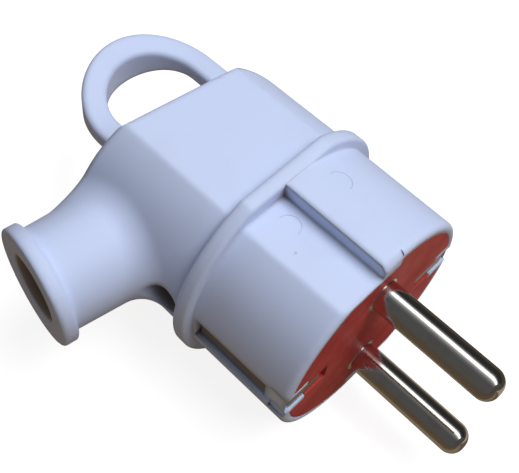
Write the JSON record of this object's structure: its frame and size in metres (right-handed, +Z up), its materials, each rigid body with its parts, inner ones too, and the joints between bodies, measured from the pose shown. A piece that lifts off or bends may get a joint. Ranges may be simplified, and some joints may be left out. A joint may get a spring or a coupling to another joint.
{
  "type": "angled mains plug",
  "caption": "Rewireable earthed mains plug with a side cable neck, a collar, a pull ring behind, a round contact insert and straight round pins.",
  "frame": {"origin": "centre of the contact face, midway between the pins", "axes": "+X along the pins towards their tips, +Z up along the line through both pins, -Y towards the cable neck; the plug lies on its side on -Z"},
  "size_m": [0.0819, 0.0527, 0.0368],
  "materials": {
    "shell": "satin moulded white plastic",
    "insert": "moulded red plastic",
    "plated_pin": "bright nickel plating on brass",
    "earth_brass": "dull brass strip",
    "screw_steel": "zinc-plated steel"
  },
  "bodies": {
    "root": {"housing": "shell", "contact_carrier": "insert", "upper_pin": "plated_pin", "lower_pin": "plated_pin", "terminal_screws": "screw_steel", "earth_strap": "earth_brass", "earth_washer": "screw_steel", "earth_screw": "screw_steel", "cord_clamp": "insert", "cord_clamp_screws": "screw_steel", "carrier_screw": "screw_steel"}
  },
  "joints": []
}
